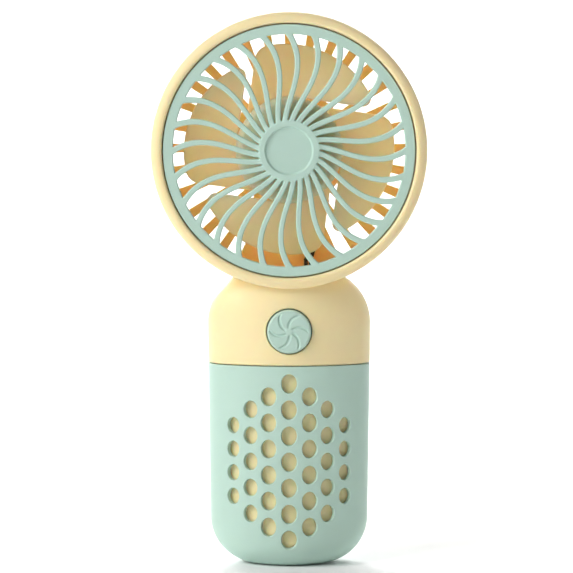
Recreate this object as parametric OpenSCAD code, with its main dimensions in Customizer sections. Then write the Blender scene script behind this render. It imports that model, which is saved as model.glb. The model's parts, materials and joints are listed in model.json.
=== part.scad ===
// Handheld electric fan: a round caged head fixed on a flat, round-ended handle.
// Millimetres. +Z is up, the air leaves towards -Y, and the origin is the centre of the flat base.

/* [Overall] */
// Height from the flat base to the top of the head
total_h = 169.5; // [168.5:0.5:171.5]
// Outer diameter of the head
head_d = 83.6; // [83:0.2:85.6]
// How far the head reaches in front of the parting plane
head_front = 17.5; // [17:0.25:19]
// How far the head reaches behind the parting plane
head_back = 15.5; // [15:0.25:17]

/* [Handle] */
// Width across the shoulders
handle_w = 50.2; // [49.4:0.2:51.6]
// Thickness from front to back
handle_t = 28; // [27.5:0.25:29]
// Half the width of the flat stretch at the bottom
base_flat_x = 9.6; // [8.8:0.2:10.4]
// Radius of the round shoulders, seen from the front
shoulder_r = 16.6; // [16:0.2:17.4]
// Radius of the round bottom corners, seen from the front
bottom_r = 14.6; // [13.8:0.2:15.4]
// Radius of the sides of the handle's cross-section
side_r = 9; // [8.5:0.25:9.5]
// Radius of the top edge, seen from the side
top_edge_r = 11; // [9:0.5:12]
// Radius of the bottom edge, seen from the side
bottom_edge_r = 6; // [5:0.5:8]
// Height of the dome's top
dome_top = 91; // [90:0.25:92]
// Height of the seam between sleeve and dome
seam_z = 62.2; // [61.6:0.2:62.4]

/* [Walls and gaps] */
// Wall of the head and the dome
wall = 2; // [1.8:0.1:2.2]
// Wall of the grip sleeve
sleeve_t = 1.8; // [1.6:0.1:2]
// Wall of the inner core that the sleeve slides over
core_t = 1.6; // [1.4:0.1:1.8]
// Gap between the sleeve and the core
sleeve_gap = 0.2; // [0.15:0.05:0.3]
// Open line between the sleeve and the dome
seam_gap = 0.3; // [0.2:0.05:0.4]

/* [Front grille] */
// Outer diameter of the grille ring
grille_d = 76.3; // [75.9:0.1:76.7]
// Radial width of the grille ring
grille_ring_w = 3.1; // [2.8:0.1:3.4]
// Number of curved spokes
spokes = 28; // [24:1:30]
// Width of a spoke
spoke_w = 1.6; // [1.4:0.1:1.7]
// Thickness of ring and spokes, front to back
grille_t = 1.9; // [1.6:0.1:2.2]
// Diameter of the centre plate
plate_d = 19.1; // [18:0.1:20]
// Diameter of the shallow recess in the centre plate
plate_recess_d = 14.4; // [13:0.2:15.6]

/* [Rear grille] */
// Number of straight vanes
vanes = 32; // [28:2:32]
// Angle that one vane fills
vane_deg = 4.6; // [4:0.1:5.4]
// Radius where the windows begin
window_in = 18.5; // [18.2:0.1:19.5]
// Radius where the windows end
window_out = 37.6; // [36.5:0.1:38.4]
// Radius where the windows above the neck end
window_neck = 31; // [29:0.5:33]

/* [Impeller] */
// Number of blades
blades = 4; // [4:1:4]
// Diameter that the blade tips sweep
impeller_d = 65; // [62:0.5:66]
// Diameter of the hub cup
cup_d = 32.4; // [31.6:0.2:33.2]
// Thickness of a blade
blade_t = 1.2; // [1:0.1:1.6]
// Pitch of a blade against the plane of rotation
blade_pitch = 18; // [16:1:21]

/* [Button] */
// Diameter of the button cap
button_d = 13.3; // [13:0.1:13.5]
// Height of the button's centre
button_z = 72.8; // [72.2:0.2:73.2]
// Gap round the button cap
button_gap = 0.35; // [0.3:0.05:0.45]
// How far the cap stands out of the dome
button_proud = 1.2; // [0.8:0.1:1.5]
// Number of curved grooves in the cap
button_grooves = 6; // [4:1:8]

/* [Oval holes in the sleeve] */
// Height of the middle of the pattern
holes_z = 32.8; // [32:0.2:33.4]
// Spacing of the holes up the three middle columns
holes_pitch = 8; // [7.6:0.1:8.2]

/* [Inner pieces] */
// Width of the battery cell
cell_w = 30; // [28:0.5:30]
// Height of the battery cell
cell_h = 40; // [36:0.5:40]
// Thickness of the battery cell
cell_t = 10; // [9:0.25:10]
// Diameter of the motor can
motor_d = 24.4; // [24:0.1:24.4]
// Length of the motor can with its end cap
motor_len = 12.4; // [12:0.1:12.4]
// Diameter of the motor shaft
shaft_d = 2; // [1.8:0.1:2.2]

/* [Hidden] */

$fn = 96;
eps = 0.01;
big = 300;
arc_over = 0.05;                  // lets arcs cross the lines that they blend into, not just touch them

// Head
head_r = head_d / 2;
head_z = total_h - head_r;
head_in_r = head_r - wall;
rim_r = 2.6;                      // round outer edge of the front rim
rim_in_r = 0.6;                   // round inner edge of the front rim
back_edge_r = 5;                  // round edge between the head's wall and its back
bore_r = grille_d / 2 + 0.25;     // opening that the front grille sits in
ledge_front = 10.4;               // the ledge that the grille's skirt rests on
ledge_t = 1.5;
ledge_in_r = 36.2;
plate_back = head_back - wall;    // inner face of the rear grille
lip_t = 0.9;                      // alignment lip inside the head's joint
lip_h = 1.5;
neck_deg = 20;                    // half the angle over the neck that has short windows

// Handle
core_inset = sleeve_t + sleeve_gap;
cavity_inset = core_inset + core_t;
side_x = handle_w / 2 - side_r + 0.35;   // so far out that the front outline trims the sides
face_r = (side_x ^ 2 + handle_t ^ 2 / 4 - side_r ^ 2) / (handle_t - 2 * side_r);
face_y = face_r - handle_t / 2;
top_centre = [handle_w / 2 - shoulder_r, dome_top - shoulder_r];
low_centre = [base_flat_x, bottom_r];
centre_step = top_centre - low_centre;
side_lean = acos((bottom_r - shoulder_r) / norm(centre_step)) - atan2(centre_step.y, centre_step.x);

// Oval holes: the column's place across the handle, its number of holes, and each hole's width,
// height and spacing
hole_columns = [
    [0, 7, 4.8, 5.9, holes_pitch],
    [6.3, 6, 4.6, 5.7, holes_pitch],
    [11.8, 5, 4.1, 5.3, holes_pitch],
    [17.1, 4, 3.5, 4.9, 0.91 * holes_pitch]
];

// Front grille
grille_r = grille_d / 2;
grille_face = head_front - 0.7;   // front face of ring and spokes
skirt_t = 1.3;
skirt_gap = 0.1;
plate_raise = 0.3;
recess_depth = 0.6;
spoke_mid_r = 24.3;               // radius where a spoke runs straight outwards
spoke_mid_deg = -5.7;
spoke_turn_in = 0.06;             // how a spoke bends, in degrees per square millimetre
spoke_turn_out = 0.05;

// Impeller and motor, as distances behind the parting plane
motor_back = 11.5;
motor_front = motor_back - motor_len;
motor_r = motor_d / 2;
can_t = 0.8;
end_cap_t = 2.6;
boss_r = 3.1;                     // bearing boss on the front of the can
boss_h = 1;
bush_r = 2.2;
running_gap = 0.03;
seat_r = motor_r + 0.15;
seat_t = 1.5;
seat_front = 6.5;
cup_r = cup_d / 2;
cup_t = 1.2;
cup_front = -10.6;
cup_back = 5;
impeller_boss_r = 3;
impeller_boss_back = motor_front - boss_h - 0.6;
shaft_front = cup_front + cup_t;
blade_start_deg = 26.5;           // where the first blade's straight edge meets its rim
blade_line = 16.2;                // distance of the blade's straight edge from the axis
blade_line_deg = 55.5;
blade_end_line = 14.4;            // the same for the far edge, which is parallel to the next blade's
blade_end_r = 5;
blade_start_r = 2.5;
blade_mid_deg = 42;
blade_camber_r = 80;
blade_mid_y = -0.5;

// Button and switch, as distances behind the parting plane
button_r = button_d / 2;
button_front = -handle_t / 2 - button_proud;
cap_flange_r = button_r + 1.1;
cap_flange_front = -10.8;
cap_flange_t = 1;
stem_r = 1.6;
switch_back = 1;
switch_t = 3.5;
switch_w = 6;
plunger_r = 1.7;
plunger_h = 1.5;
plunger_front = switch_back - switch_t - plunger_h;
groove_depth = 0.35;
groove_w = 0.55;
groove_start_deg = 102;
groove_turn = -52;                // how far a groove turns from the middle to the cap's edge

// Main board and USB socket
board_w = 24;
board_low = 64.5;
board_h = 18.5;
board_t = 1.2;
board_back = switch_back + board_t;
board_screw_x = 9.2;
board_screw_z = 80.6;
usb_z = 71.8;
usb_w = 8.94;
usb_h = 3.26;
usb_front = handle_t / 2 - 1.1;
usb_t = 0.35;
led_x = 8.4;
led_r = 1;

// Shell screws: across, height
screw_places = [[-15.4, 78.6], [15.4, 78.6], [-8, 8.6], [8, 8.6]];
screw_boss_r = 2.6;
screw_seat = 5.6;
screw_head_r = 1.85;
screw_head_t = 1.3;
screw_r = 0.97;
screw_len = 9.5;
pilot_r = 1;

// Battery
cell_low = 13;
cell_edge_r = 1.6;
cell_top = cell_low + cell_h;
pad_t = 0.9;
pad_gap = 0.05;
rib_y = cell_t / 2 + pad_t + 2 * pad_gap;
rib_t = 1.2;
lead_r = 0.6;

// Route of the motor leads, as [across, behind the parting plane, height]
lead_vane_deg = 303.75;
lead_y = 12.3;
lead_hole = [6, 8.4, head_z - head_in_r - 0.3];

// ---- Helpers ----

// Places what is drawn in the X-Y plane upright, facing forwards, so that its thickness runs
// from the distance "from" to "to" behind the parting plane
module upright(from, to) {
    translate([0, to, 0])
        rotate([90, 0, 0])
            linear_extrude(to - from)
                children();
}

// The same about the head's axis, for a flat shape centred there
module head_plate(from, to) {
    translate([0, 0, head_z])
        upright(from, to)
            children();
}

// Turns a profile about the head's axis: x is the radius and y the distance in front of the parting plane
module head_turned() {
    translate([0, 0, head_z])
        rotate([90, 0, 0])
            rotate_extrude()
                children();
}

// A round bar or hole along Y
module bar_y(x, z, r, from, to) {
    translate([x, to, z])
        rotate([90, 0, 0])
            cylinder(r = r, h = to - from);
}

// A box between two corners
module box(low, high) {
    translate(low)
        cube(high - low);
}

// A rectangle from low to high, with its lower and upper corners rounded
module round_rect(low, high, low_r, high_r) {
    translate([low.x, low.y + low_r])
        square([high.x - low.x, high.y - low.y - low_r - high_r]);
    translate([low.x + low_r, low.y])
        square([high.x - low.x - 2 * low_r, low_r + eps]);
    translate([low.x + high_r, high.y - high_r - eps])
        square([high.x - low.x - 2 * high_r, high_r + eps]);
    for (x = [low.x + low_r, high.x - low_r])
        translate([x, low.y + low_r])
            circle(low_r);
    for (x = [low.x + high_r, high.x - high_r])
        translate([x, high.y - high_r])
            circle(high_r);
}

// A wire of round cross-section through a list of points, with a slightly larger ball at each bend
module wire(points, r) {
    for (i = [0 : len(points) - 2]) {
        step = points[i + 1] - points[i];
        translate(points[i])
            rotate([0, acos(step.z / norm(step)), atan2(step.y, step.x)])
                cylinder(r = r, h = norm(step), $fn = 24);
    }
    for (i = [1 : 1 : len(points) - 2])
        translate(points[i])
            sphere(r = 1.08 * r, $fn = 24);
}

function polar(r, a) = [r * cos(a), r * sin(a)];

// Points of a strip of even width that runs outwards while its angle follows turn(r)
function swept_strip(r0, r1, w, turn, steps = 12) =
    let (
        step = (r1 - r0) / steps,
        radii = [for (i = [0 : steps]) r0 + i * step],
        slope = function (r) (turn(r + 0.05) - turn(r - 0.05)) * 10 * r * PI / 180,
        half = function (r) asin(w / 2 / r * sqrt(1 + slope(r) ^ 2))
    )
    concat(
        [for (r = radii) polar(r, turn(r) - half(r))],
        [for (i = [steps : -1 : 0]) polar(radii[i], turn(radii[i]) + half(radii[i]))]
    );

// ---- Handle ----

// The handle seen from the front: straight leaning sides that run into the round corners
module front_outline(inset) {
    top_r = shoulder_r - inset;
    low_r = bottom_r - inset;
    normal = [cos(side_lean), -sin(side_lean)];
    top_side = top_centre + top_r * normal;
    low_side = low_centre + low_r * normal;
    for (s = [-1, 1]) {
        translate([s * top_centre.x, top_centre.y])
            circle(top_r + arc_over);
        translate([s * low_centre.x, low_centre.y])
            circle(low_r + arc_over);
    }
    polygon([
        [low_centre.x, inset], low_side, top_side, [top_centre.x, dome_top - inset],
        [-top_centre.x, dome_top - inset], [-top_side.x, top_side.y],
        [-low_side.x, low_side.y], [-low_centre.x, inset]
    ]);
}

// The handle's cross-section: a wide arc on each face, and a small one on each side
module cross_section(inset) {
    reach = (face_r - inset) * side_x / (face_r - side_r);
    for (s = [-1, 1])
        translate([s * side_x, 0])
            circle(side_r - inset + arc_over);
    intersection() {
        translate([0, face_y])
            circle(face_r - inset);
        translate([0, -face_y])
            circle(face_r - inset);
        square([2 * reach, handle_t], center = true);
    }
}

// The handle's whole shape, set in by "inset" all round, between two heights
module handle_solid(inset, from, to) {
    half_t = handle_t / 2 - inset;
    intersection() {
        upright(-handle_t, handle_t)
            front_outline(inset);
        translate([0, 0, from])
            linear_extrude(to - from)
                cross_section(inset);
        translate([-handle_w, 0, 0])
            rotate([90, 0, 90])
                linear_extrude(2 * handle_w)
                    round_rect(
                        [-half_t, inset], [half_t, dome_top - inset],
                        bottom_edge_r - inset, top_edge_r - inset
                    );
    }
}

// ---- Head ----

// Solid outer shape of the head
module head_solid() {
    head_turned()
        difference() {
            translate([0, -head_back])
                square([head_r, head_back + head_front]);
            translate([head_r, head_front])
                edge_cut(rim_r);
            translate([head_r, -head_back])
                mirror([0, 1])
                    edge_cut(back_edge_r);
        }
}

// What is cut off an outer corner at the origin to round it
module edge_cut(r) {
    difference() {
        translate([-r, -r])
            square(r + 1);
        translate([-r, -r])
            circle(r);
    }
}

// The air space, the ledge and the front opening
module head_space() {
    head_turned() {
        translate([0, -plate_back])
            square([head_in_r, plate_back + ledge_front - ledge_t]);
        square([ledge_in_r, ledge_front + eps]);
        translate([0, ledge_front])
            square([bore_r, big]);
        translate([bore_r, head_front])
            difference() {
                translate([-eps, -rim_in_r])
                    square([rim_in_r, rim_in_r + 1]);
                translate([rim_in_r, -rim_in_r])
                    circle(rim_in_r);
            }
    }
}

// Windows between the straight vanes of the rear grille
module rear_windows() {
    half = (360 / vanes - vane_deg) / 2;
    for (i = [0 : vanes - 1]) {
        mid = (i + 0.5) * 360 / vanes;
        outer = abs(mid - 270) < neck_deg ? window_neck : window_out;
        intersection() {
            difference() {
                circle(outer);
                circle(window_in);
            }
            polygon([[0, 0], polar(big, mid - half), polar(big, mid + half)]);
        }
    }
}

// Head, dome and core as one hollow shape, before it is parted into the two shells
module cream_body() {
    difference() {
        union() {
            head_solid();
            handle_solid(0, seam_z + seam_gap / 2, dome_top);
            handle_solid(core_inset, 0, seam_z + 2);
        }
        head_space();
        handle_solid(cavity_inset, 0, seam_z + wall + eps);
        difference() {
            handle_solid(wall, seam_z + wall, dome_top);
            head_plate(-big, big)
                circle(head_r);
        }
    }
}

// Bosses and ribs inside the handle, cut to the shape of the walls that they grow from
module in_handle() {
    intersection() {
        union() {
            handle_solid(core_inset + core_t / 2, 0, seam_z + wall);
            handle_solid(wall / 2, seam_z + wall / 2, dome_top);
        }
        children();
    }
}

module front_shell() {
    color("#f6e3b4")
        difference() {
            union() {
                intersection() {
                    cream_body();
                    box([-big, -big, -big], [big, 0, big]);
                }
                in_handle() {
                    for (p = screw_places)
                        bar_y(p.x, p.y, screw_boss_r, -handle_t, 0);
                    for (x = [-10, 0, 10])
                        box([x - rib_t / 2, -handle_t, cell_low], [x + rib_t / 2, -rib_y, cell_top]);
                }
            }
            for (p = screw_places)
                bar_y(p.x, p.y, pilot_r, screw_seat - screw_len - 1, eps);
            bar_y(0, button_z, button_r + button_gap, -handle_t, -5);
        }
}

module rear_shell() {
    color("#f6e3b4")
        difference() {
            union() {
                intersection() {
                    cream_body();
                    box([-big, 0, -big], [big, big, big]);
                }
                in_handle() {
                    for (p = screw_places)
                        bar_y(p.x, p.y, screw_boss_r, 0, handle_t);
                    for (x = [-10, 0, 10])
                        box([x - rib_t / 2, rib_y, cell_low], [x + rib_t / 2, handle_t, cell_top]);
                    for (s = [-1, 1])
                        bar_y(s * board_screw_x, board_screw_z, 1.9, board_back, handle_t);
                }
                joint_lip();
                motor_seat();
            }
            head_plate(plate_back - 1, head_back + 1)
                rear_windows();
            for (p = screw_places) {
                bar_y(p.x, p.y, pilot_r + 0.15, -eps, handle_t);
                bar_y(p.x, p.y, screw_head_r + 0.3, screw_seat, handle_t);
            }
            for (s = [-1, 1])
                bar_y(s * board_screw_x, board_screw_z, 0.85, board_back - eps, 8);
            upright(usb_front - 3, handle_t)
                usb_outline(0.4);
            bar_y(led_x, usb_z, led_r + 0.1, board_back, handle_t);
            translate([lead_hole.x, lead_hole.y, lead_hole.z - 4])
                cylinder(r = 2, h = 8);
        }
}

// Lip on the rear half that lines it up inside the front half
module joint_lip() {
    head_turned() {
        translate([head_in_r - 0.2 - lip_t, -lip_h])
            square([lip_t, 2 * lip_h]);
        translate([head_in_r - 0.2 - lip_t, -lip_h])
            square([lip_t + 0.3, lip_h]);
    }
}

// Cup on the rear grille that holds the motor, open at one side for the leads
module motor_seat() {
    difference() {
        head_turned() {
            translate([seat_r, -plate_back - eps])
                square([seat_t, plate_back - seat_front]);
            translate([seat_r - 2, -plate_back - eps])
                square([2 + eps, plate_back - motor_back - 0.1]);
        }
        translate([0, 0, head_z])
            rotate([0, -lead_vane_deg, 0])
                box([0, plate_back - 3.2, -2.2], [seat_r + 3, plate_back, 2.2]);
    }
}

// ---- Front grille ----

module front_grille() {
    bend = function (r)
        spoke_mid_deg + (r < spoke_mid_r ? spoke_turn_in : spoke_turn_out) * (r - spoke_mid_r) ^ 2;
    inner = grille_r - grille_ring_w;
    color("#b8d4c6") {
        head_plate(-grille_face, -grille_face + grille_t) {
            difference() {
                circle(grille_r);
                circle(inner);
            }
            for (i = [0 : spokes - 1])
                rotate(i * 360 / spokes)
                    polygon(swept_strip(plate_d / 2 - 0.6, inner + 0.6, spoke_w, bend));
        }
        head_turned() {
            translate([grille_r - skirt_t, ledge_front + skirt_gap])
                square([skirt_t, grille_face - grille_t / 2 - ledge_front]);
            translate([0, grille_face - grille_t])
                square([plate_d / 2, grille_t + plate_raise - recess_depth]);
            translate([plate_recess_d / 2, grille_face - grille_t])
                square([(plate_d - plate_recess_d) / 2, grille_t + plate_raise]);
        }
    }
}

// ---- Grip sleeve ----

// The oval holes as seen from the front, each a rectangle with fully rounded ends
module sleeve_holes() {
    for (c = hole_columns, s = c[0] == 0 ? [1] : [-1, 1], i = [0 : c[1] - 1])
        translate([s * c[0], holes_z + (i - (c[1] - 1) / 2) * c[4]]) {
            rise = (c[3] - c[2]) / 2;
            square([c[2], 2 * rise], center = true);
            for (t = [-1, 1])
                translate([0, t * rise])
                    circle(c[2] / 2, $fn = 48);
        }
}

module grip_sleeve() {
    color("#b8d4b8")
        difference() {
            handle_solid(0, 0, seam_z - seam_gap / 2);
            handle_solid(sleeve_t, -1, seam_z + 1);
            upright(-handle_t, handle_t)
                sleeve_holes();
        }
}

// ---- Impeller ----

// One blade seen from the front, with its straight edge starting at angle 0
function blade_outline() =
    let (
        tip = impeller_d / 2,
        off = 3.5,                       // the rim arc is eccentric, so the blade widens as it goes
        rim_c = polar(off, 80),
        rim = tip - off,
        // centre of the round corner between the rim and an edge whose foot is at angle a
        corner = function (r, line, a, side)
            let (turn = acos((line - rim_c * polar(1, a)) / (rim - r)))
            rim_c + polar(rim - r, a + side * turn),
        c_end = corner(blade_end_r, blade_end_line - blade_end_r, blade_line_deg + 90, -1),
        c_start = corner(blade_start_r, blade_line + blade_start_r, blade_line_deg, -1),
        start_rim = atan2(c_start.y - rim_c.y, c_start.x - rim_c.x),
        end_rim = atan2(c_end.y - rim_c.y, c_end.x - rim_c.x),
        fan = function (c, r, a0, a1, n) [for (i = [0 : n]) c + polar(r, a0 + (a1 - a0) * i / n)]
    )
    concat(
        fan(c_start, blade_start_r, blade_line_deg - 180, start_rim, 5),
        fan(rim_c, rim, start_rim + 6, end_rim - 6, 8),
        fan(c_end, blade_end_r, end_rim, blade_line_deg + 90, 6),
        [polar(cup_r - 0.8, 118), polar(cup_r - 0.8, 88), polar(cup_r - 0.8, 52)]
    );

// A sheet, hollow towards the front and with its straight edge leading forwards, that the blades are cut from
module blade_sheet() {
    translate([0, blade_mid_y, 0])
        rotate([0, 90 - blade_mid_deg, 0])
            rotate([0, 0, -blade_pitch])
                translate([0, -blade_camber_r, 0])
                    difference() {
                        cylinder(r = blade_camber_r + blade_t / 2, h = 40, $fn = 180);
                        translate([0, 0, -1])
                            cylinder(r = blade_camber_r - blade_t / 2, h = 42, $fn = 180);
                    }
}

module impeller() {
    color("#ecd3a4") {
        translate([0, 0, head_z])
            for (i = [0 : blades - 1])
                rotate([0, -blade_start_deg - i * 360 / blades, 0])
                    intersection() {
                        upright(-20, 20)
                            polygon(blade_outline());
                        blade_sheet();
                    }
        head_turned()
            difference() {
                translate([0, -cup_back])
                    square([cup_r, cup_back - cup_front]);
                translate([impeller_boss_r, -cup_back - 1])
                    square([cup_r - cup_t - impeller_boss_r, cup_back - cup_front - cup_t + 1]);
                translate([0, -cup_back - 1])
                    square([impeller_boss_r + eps, cup_back + 1 - impeller_boss_back]);
                translate([0, -cup_back - 1])
                    square([shaft_d / 2, cup_back + 1 - shaft_front]);
                translate([cup_r, -cup_front])
                    edge_cut(2.4);
            }
    }
}

// ---- Motor ----

module motor_can() {
    color("#b4b6b8")
        head_turned()
            difference() {
                union() {
                    translate([0, end_cap_t - motor_back])
                        square([motor_r, motor_len - end_cap_t]);
                    square([boss_r, boss_h - motor_front]);
                }
                translate([0, end_cap_t - motor_back - 1])
                    square([motor_r - can_t, motor_len - end_cap_t - can_t + 1]);
                square([bush_r, big]);
            }
}

module motor_end_cap() {
    color("#2b2b2d")
        difference() {
            head_turned()
                difference() {
                    translate([0, -motor_back])
                        square([motor_r, end_cap_t - 0.02]);
                    translate([0, -motor_back - 1])
                        square([bush_r, big]);
                }
            motor_terminal_pair(0.05);
        }
}

// The two flat terminals, "grow" larger all round
module motor_terminal_pair(grow) {
    translate([0, 0, head_z])
        for (s = [-1, 1])
            rotate([0, -lead_vane_deg - s * 14, 0])
                box(
                    [7 - grow, motor_back - 4 - grow, -0.9 - grow],
                    [7.5 + grow, motor_back + 0.9 + grow, 0.9 + grow]
                );
}

module motor_terminals() {
    color("#c9a64b")
        motor_terminal_pair(0);
}

module motor_magnets() {
    color("#4a4a4c")
        head_plate(motor_front + 2, motor_back - end_cap_t - 1.2)
            intersection() {
                difference() {
                    circle(motor_r - can_t - 0.05);
                    circle(motor_r - can_t - 2);
                }
                for (a = [0, 180])
                    rotate(a)
                        polygon([[0, 0], polar(20, -62), [40, 0], polar(20, 62)]);
            }
}

module motor_brushes() {
    color("#b06a3a")
        translate([0, 0, head_z])
            for (s = [-1, 1])
                box([-1, 6.6, s * 2.9 - 0.3], [1, 8.6, s * 2.9 + 0.3]);
}

module motor_front_bush() {
    color("#c7a25a")
        head_turned()
            translate([shaft_d / 2 + running_gap, -motor_front - 1])
                square([bush_r - shaft_d / 2 - running_gap - 0.02, boss_h + 0.9]);
}

module motor_rear_bush() {
    color("#c7a25a")
        head_turned()
            translate([shaft_d / 2 + running_gap, -motor_back + 0.1])
                square([bush_r - shaft_d / 2 - running_gap - 0.02, end_cap_t - 0.4]);
}

module motor_shaft() {
    color("#d6d8da")
        bar_y(0, head_z, shaft_d / 2, shaft_front + 0.1, motor_back - 0.3);
}

// Three-pole laminated core on the shaft
module armature_core() {
    color("#8c8e92")
        head_plate(1.7, 6)
            difference() {
                union() {
                    circle(3.2);
                    for (a = [0, 120, 240])
                        rotate(a) {
                            translate([0, -0.9])
                                square([8.4, 1.8]);
                            intersection() {
                                difference() {
                                    circle(9.1);
                                    circle(7.9);
                                }
                                polygon([[0, 0], polar(20, -50), polar(20, 50)]);
                            }
                        }
                }
                circle(shaft_d / 2 + 0.01);
            }
}

module armature_windings() {
    color("#b4652a")
        translate([0, 0, head_z])
            for (a = [0, 120, 240])
                rotate([0, -a, 0])
                    difference() {
                        box([3.6, 0.9, -2.1], [7.6, 6.8, 2.1]);
                        box([3, 1.65, -0.95], [8, 6.05, 0.95]);
                    }
}

module commutator() {
    color("#c98a4b")
        head_turned()
            translate([shaft_d / 2 + 0.01, -8.6])
                square([1.5, 1.9]);
}

// Point on the inner face of the rear grille, where the leads run
function lead_point(r, a) = [r * cos(a), lead_y, head_z + r * sin(a)];

// A pair of leads along one rear vane, down through the neck and to the main board
module motor_leads() {
    color("#1d1d1f")
        for (s = [-1, 1]) {
            side = [s * 0.8, 0, s * 0.35];
            down_x = lead_hole.x + s * 0.75;
            wire([
                lead_point(8.6, lead_vane_deg + s * 8),
                lead_point(13, lead_vane_deg) + side,
                lead_point(20, lead_vane_deg) + side,
                [down_x, lead_y - 0.6, lead_hole.z + 5.4],
                [down_x, lead_hole.y, lead_hole.z + 1.4],
                [down_x, lead_hole.y, lead_hole.z - 3],
                [down_x - 1.2, board_back + lead_r + 0.05, 81.6]
            ], lead_r);
        }
}

// ---- Button and electronics ----

module button_cap() {
    swirl = function (r) groove_start_deg + groove_turn * (r / button_r) ^ 1.4;
    color("#b8d4c6")
        translate([0, 0, button_z])
            difference() {
                rotate([90, 0, 0])
                    rotate_extrude()
                        button_profile();
                upright(button_front - 1, button_front + groove_depth)
                    for (i = [0 : button_grooves - 1])
                        rotate(i * 360 / button_grooves)
                            polygon(swept_strip(1.1, button_r - 1, groove_w, swirl, 8));
            }
}

// Half the cap's section: x is the radius and y the distance in front of the parting plane
module button_profile() {
    difference() {
        union() {
            translate([0, -cap_flange_front])
                square([button_r, cap_flange_front - button_front]);
            translate([0, -cap_flange_front - cap_flange_t])
                square([cap_flange_r, cap_flange_t + eps]);
            translate([0, -plunger_front + 0.02])
                square([stem_r, plunger_front - cap_flange_front]);
        }
        translate([button_r, -button_front])
            edge_cut(0.8);
        translate([stem_r + 1, -cap_flange_front - cap_flange_t - 1])
            square([button_r - stem_r - 2.4, 3.3]);
    }
}

module switch_body() {
    half = switch_w / 2;
    color("#3a3a3c")
        difference() {
            box(
                [-half, switch_back - switch_t, button_z - half],
                [half, switch_back - 0.02, button_z + half]
            );
            bar_y(0, button_z, plunger_r + 0.05, -5, switch_back - 1);
        }
}

module switch_plunger() {
    color("#6c6c70")
        bar_y(0, button_z, plunger_r, plunger_front, switch_back - 1.6);
}

module main_board() {
    color("#2f7a4d")
        difference() {
            box(
                [-board_w / 2, switch_back, board_low],
                [board_w / 2, board_back, board_low + board_h]
            );
            for (s = [-1, 1])
                bar_y(s * board_screw_x, board_screw_z, 1.1, switch_back - 1, board_back + 1);
        }
}

// Charging chip, inductor and capacitors on the board
module board_parts() {
    color("#3b3d40") {
        box([-10.5, switch_back - 1.1, 66], [-5.5, switch_back - 0.02, 70]);
        box([5.6, switch_back - 2, 65.6], [9.8, switch_back - 0.02, 69.8]);
        for (x = [-9, -6, 5.5, 8])
            box([x, switch_back - 0.7, 74], [x + 1.2, switch_back - 0.02, 76]);
        box([-3, switch_back - 1.1, 77], [1.8, switch_back - 0.02, 80.4]);
    }
}

module board_screws() {
    color("#9fa1a4")
        for (s = [-1, 1]) {
            bar_y(s * board_screw_x, board_screw_z, 1.5, switch_back - 1.1, switch_back - 0.02);
            bar_y(s * board_screw_x, board_screw_z, 0.82, switch_back - 0.1, 7.4);
        }
}

// Rounded outline of the USB socket, "grow" larger all round
module usb_outline(grow) {
    r = usb_h / 2 + grow;
    translate([0, usb_z]) {
        square([usb_w - usb_h, 2 * r], center = true);
        for (s = [-1, 1])
            translate([s * (usb_w - usb_h) / 2, 0])
                circle(r, $fn = 48);
    }
}

module usb_shell() {
    color("#c4c6c8") {
        upright(board_back + 0.02, usb_front)
            difference() {
                usb_outline(0);
                usb_outline(-usb_t);
            }
        upright(board_back + 0.02, board_back + 1)
            usb_outline(-usb_t / 2);
    }
}

module usb_tongue() {
    color("#202022")
        box([-3.3, board_back + 1.02, usb_z - 0.35], [3.3, usb_front - 0.8, usb_z + 0.35]);
}

module charge_led() {
    color("#f2f4f6") {
        bar_y(led_x, usb_z, led_r, board_back + 0.6, 12.6);
        bar_y(led_x, usb_z, led_r + 0.5, board_back + 0.02, board_back + 1);
    }
}

// ---- Battery ----

module battery_cell() {
    color("#b9c0c9")
        translate([0, 0, cell_low])
            linear_extrude(cell_h)
                round_rect([-cell_w / 2, -cell_t / 2], [cell_w / 2, cell_t / 2], cell_edge_r, cell_edge_r);
}

module battery_board() {
    color("#2f7a4d") {
        box([-cell_w / 2 + 1, -0.5, cell_top + 0.05], [cell_w / 2 - 1, 0.5, cell_top + 3.2]);
        box([-3, 0.45, cell_top + 0.6], [3, 1.5, cell_top + 2.8]);
    }
}

module battery_pads() {
    color("#4b4d50")
        for (s = [-1, 1])
            translate([0, s * (cell_t / 2 + pad_gap + pad_t / 2), cell_low + cell_h / 2])
                cube([cell_w - 6, pad_t, cell_h - 8], center = true);
}

// One battery lead, straight up from the cell's board to the back of the main board
module battery_lead(x) {
    wire([
        [x, 0.5 + lead_r + 0.02, cell_top + 1.2], [x, 0.5 + lead_r + 0.02, cell_top + 4.6],
        [x, board_back + lead_r + 0.05, board_low - 2.4], [x, board_back + lead_r + 0.05, board_low + 3]
    ], lead_r);
}

module battery_lead_red() {
    color("#c4322b")
        battery_lead(-8);
}

module battery_lead_black() {
    color("#1d1d1f")
        battery_lead(-10.4);
}

// ---- Fasteners ----

// Pan-head screws with a cross recess, driven in from the back
module shell_screws() {
    color("#9fa1a4")
        for (p = screw_places)
            difference() {
                union() {
                    bar_y(p.x, p.y, screw_head_r, screw_seat + 0.02, screw_seat + screw_head_t);
                    bar_y(p.x, p.y, screw_r, screw_seat - screw_len, screw_seat + 0.5);
                }
                for (arm = [[1.15, 0.22], [0.22, 1.15]])
                    box(
                        [p.x - arm.x, screw_seat + 0.5, p.y - arm.y],
                        [p.x + arm.x, screw_seat + 2, p.y + arm.y]
                    );
            }
}

front_shell();
rear_shell();
front_grille();
grip_sleeve();
impeller();
button_cap();
switch_body();
switch_plunger();
main_board();
board_parts();
board_screws();
usb_shell();
usb_tongue();
charge_led();
shell_screws();
battery_cell();
battery_board();
battery_pads();
battery_lead_red();
battery_lead_black();
motor_can();
motor_end_cap();
motor_magnets();
motor_brushes();
motor_terminals();
motor_front_bush();
motor_rear_bush();
motor_shaft();
armature_core();
armature_windings();
commutator();
motor_leads();
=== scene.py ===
import json
import math

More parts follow.
